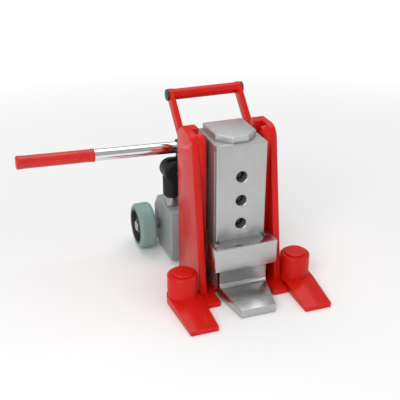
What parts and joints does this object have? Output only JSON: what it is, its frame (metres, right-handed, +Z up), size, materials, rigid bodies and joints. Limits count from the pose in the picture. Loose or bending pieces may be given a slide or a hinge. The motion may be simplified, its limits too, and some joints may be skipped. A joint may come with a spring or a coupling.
{
  "type": "hydraulic toe jack",
  "caption": "Hydraulic toe jack: a casing and a height-adjustable claw rise between two columns, with swing-out feet, a swivelling hand pump, a carry handle and rear wheels.",
  "frame": {"origin": "on the floor, under the axis of the lifting ram", "axes": "+Z up along the ram, the toe points along -Y, +X to the right of someone who stands in front of the toe"},
  "size_m": [0.5392, 0.403, 0.363],
  "materials": {
    "red_paint": "glossy red enamel",
    "grey_cast": "blasted grey casting",
    "black_paint": "satin black enamel",
    "black_plastic": "moulded black plastic",
    "machined_steel": "ground and brushed, satin",
    "steel": "machined",
    "chrome": "polished hard chrome",
    "zinc": "zinc plated",
    "spring_steel": "oiled spring wire",
    "seal_rubber": "nitrile rubber",
    "grip_plastic": "moulded red sleeve",
    "tyre_rubber": "grey-green polyurethane tread",
    "bronze": "sintered bronze"
  },
  "bodies": {
    "frame": {"base_rail_left": "red_paint", "base_rail_right": "red_paint", "base_bridge": "red_paint", "side_plate_left": "red_paint", "side_plate_right": "red_paint", "guide_strips_left": "red_paint", "guide_strips_right": "red_paint", "handle_arm_left": "red_paint", "handle_arm_right": "red_paint", "carry_bar": "red_paint", "bar_caps": "black_plastic", "barrel": "steel", "gland_nut": "steel", "wiper_ring": "seal_rubber", "return_spring": "spring_steel", "tank": "grey_cast", "cover_gasket": "seal_rubber", "tank_cover": "grey_cast", "cover_screws": "zinc", "filler_plug": "zinc", "pump_cylinder": "steel", "pressure_pipe": "zinc", "pipe_nuts": "zinc", "tank_screws": "zinc", "foot_pin_left": "red_paint", "foot_pin_right": "red_paint", "axle": "steel", "axle_caps": "zinc", "axle_spacers": "steel"},
    "lift": {"casing": "machined_steel", "head_plate": "machined_steel", "ram": "chrome", "piston": "steel", "piston_seal": "seal_rubber", "guide_key_left": "steel", "guide_key_right": "steel", "key_screws": "zinc", "groove_stops": "steel"},
    "claw": {"claw": "machined_steel"},
    "claw_bolt": {"claw_bolt": "machined_steel"},
    "foot_left": {"foot_left": "red_paint"},
    "foot_right": {"foot_right": "red_paint"},
    "pump_head": {"pump_head": "black_paint", "rocker_pin": "steel", "pin_clips": "zinc", "plunger_spring": "spring_steel"},
    "plunger": {"plunger": "chrome"},
    "rocker": {"rocker": "black_paint"},
    "lever": {"lever_tube": "chrome", "lever_grip": "grip_plastic"},
    "release_valve": {"valve_spindle": "steel", "valve_knob": "black_plastic"},
    "wheel_left": {"wheel_tyre_left": "tyre_rubber", "wheel_hub_left": "black_plastic", "wheel_bush_left": "bronze"},
    "wheel_right": {"wheel_tyre_right": "tyre_rubber", "wheel_hub_right": "black_plastic", "wheel_bush_right": "bronze"}
  },
  "joints": [
    {"name": "lift_slide", "type": "slide", "parent": "frame", "child": "lift", "axis": [0, 0, 1], "range_m": [0, 0.14], "deforming": ["return_spring"]},
    {"name": "claw_height", "type": "slide", "parent": "lift", "child": "claw", "axis": [0, 0, 1], "range_m": [0, 0.1452]},
    {"name": "claw_lock", "type": "slide", "parent": "claw", "child": "claw_bolt", "axis": [0, 1, 0], "range_m": [0, 0.018]},
    {"name": "foot_left_swivel", "type": "hinge", "parent": "frame", "child": "foot_left", "pos_m": [-0.119, -0.056, 0], "axis": [0, 0, -1], "range_deg": [0, 90]},
    {"name": "foot_right_swivel", "type": "hinge", "parent": "frame", "child": "foot_right", "pos_m": [0.119, -0.056, 0], "axis": [0, 0, 1], "range_deg": [0, 90]},
    {"name": "pump_swivel", "type": "hinge", "parent": "frame", "child": "pump_head", "pos_m": [-0.079, 0.125, 0.15], "axis": [0, 0, 1], "range_deg": [-110, 30]},
    {"name": "rocker_stroke", "type": "hinge", "parent": "pump_head", "child": "rocker", "pos_m": [-0.067, 0.125, 0.198], "axis": [0, -1, 0], "range_deg": [-8, 30]},
    {"name": "plunger_stroke", "type": "slide", "parent": "pump_head", "child": "plunger", "axis": [0, 0, -1], "range_m": [-0.0018, 0.0064], "deforming": ["plunger_spring"]},
    {"name": "lever_pull", "type": "slide", "parent": "rocker", "child": "lever", "axis": [-0.9994, 0, 0.0349], "range_m": [0, 0.03]},
    {"name": "release_valve_turn", "type": "hinge", "parent": "frame", "child": "release_valve", "pos_m": [0.02, 0.205, 0.078], "axis": [0, 1, 0], "range_deg": [0, 270]},
    {"name": "wheel_left_spin", "type": "hinge", "parent": "frame", "child": "wheel_left", "pos_m": [-0.127, 0.182, 0.052], "axis": [1, 0, 0], "continuous": true},
    {"name": "wheel_right_spin", "type": "hinge", "parent": "frame", "child": "wheel_right", "pos_m": [0.127, 0.182, 0.052], "axis": [1, 0, 0], "continuous": true}
  ],
  "couplings": [
    {"joint": "plunger_stroke", "follows": "rocker_stroke", "m_per_rad": 0.012}
  ]
}
